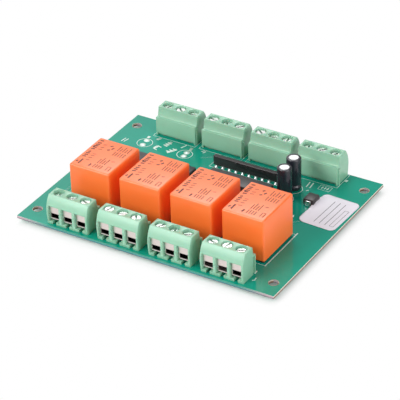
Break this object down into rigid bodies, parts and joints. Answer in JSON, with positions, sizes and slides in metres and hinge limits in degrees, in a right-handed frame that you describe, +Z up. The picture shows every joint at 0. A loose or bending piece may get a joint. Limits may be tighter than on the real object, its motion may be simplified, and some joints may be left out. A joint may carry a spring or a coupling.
{
  "type": "door interlock control board",
  "caption": "Bare circuit board with a row of cube relays between two rows of screw terminal blocks, a driver and logic chips, held by corner holes.",
  "frame": {"origin": "under the centre of the board, at the level of the longest lead tips, on which it rests", "axes": "+X along the rows of terminal blocks, +Y from the front row to the rear row, +Z up, out of the component side"},
  "size_m": [0.096, 0.074, 0.0185],
  "materials": {
    "laminate": "green solder mask, satin gloss",
    "green_plastic": "moulded pale green plastic, satin",
    "clamp_steel": "plated, satin",
    "tinned_metal": "tinned, bright",
    "screw_steel": "plated, bright",
    "orange_plastic": "moulded orange plastic, satin gloss",
    "black_plastic": "moulded, matt",
    "package_plastic": "moulded epoxy, matt",
    "can_aluminium": "drawn, bright",
    "sleeve_plastic": "shrunk film, glossy",
    "paper_label": "coated paper, satin"
  },
  "bodies": {
    "root": {"circuit_board": "laminate", "crystal_can": "clamp_steel", "crystal_leads": "tinned_metal", "diode_body": "package_plastic", "diode_leads": "tinned_metal", "driver_body": "package_plastic", "driver_leads": "tinned_metal", "front_capacitor_can": "can_aluminium", "front_capacitor_leads": "tinned_metal", "front_capacitor_sleeve": "sleeve_plastic", "front_clamp_screws": "screw_steel", "label": "paper_label", "processor_body": "package_plastic", "processor_leads": "tinned_metal", "rear_capacitor_can": "can_aluminium", "rear_capacitor_leads": "tinned_metal", "rear_capacitor_sleeve": "sleeve_plastic", "rear_clamp_screws": "screw_steel", "regulator_body": "package_plastic", "regulator_leads": "tinned_metal", "relay_1_base": "black_plastic", "relay_1_case": "orange_plastic", "relay_1_pins": "tinned_metal", "relay_2_base": "black_plastic", "relay_2_case": "orange_plastic", "relay_2_pins": "tinned_metal", "relay_3_base": "black_plastic", "relay_3_case": "orange_plastic", "relay_3_pins": "tinned_metal", "relay_4_base": "black_plastic", "relay_4_case": "orange_plastic", "relay_4_pins": "tinned_metal", "resistor_network_body": "package_plastic", "resistor_network_pins": "tinned_metal", "terminal_1_contacts": "tinned_metal", "terminal_1_housing": "green_plastic", "terminal_1_wire_clamps": "clamp_steel", "terminal_2_contacts": "tinned_metal", "terminal_2_housing": "green_plastic", "terminal_2_wire_clamps": "clamp_steel", "terminal_3_contacts": "tinned_metal", "terminal_3_housing": "green_plastic", "terminal_3_wire_clamps": "clamp_steel", "terminal_4_contacts": "tinned_metal", "terminal_4_housing": "green_plastic", "terminal_4_wire_clamps": "clamp_steel", "terminal_5_contacts": "tinned_metal", "terminal_5_housing": "green_plastic", "terminal_5_wire_clamps": "clamp_steel", "terminal_6_contacts": "tinned_metal", "terminal_6_housing": "green_plastic", "terminal_6_wire_clamps": "clamp_steel", "terminal_7_contacts": "tinned_metal", "terminal_7_housing": "green_plastic", "terminal_7_wire_clamps": "clamp_steel", "terminal_8_contacts": "tinned_metal", "terminal_8_housing": "green_plastic", "terminal_8_wire_clamps": "clamp_steel"}
  },
  "joints": []
}
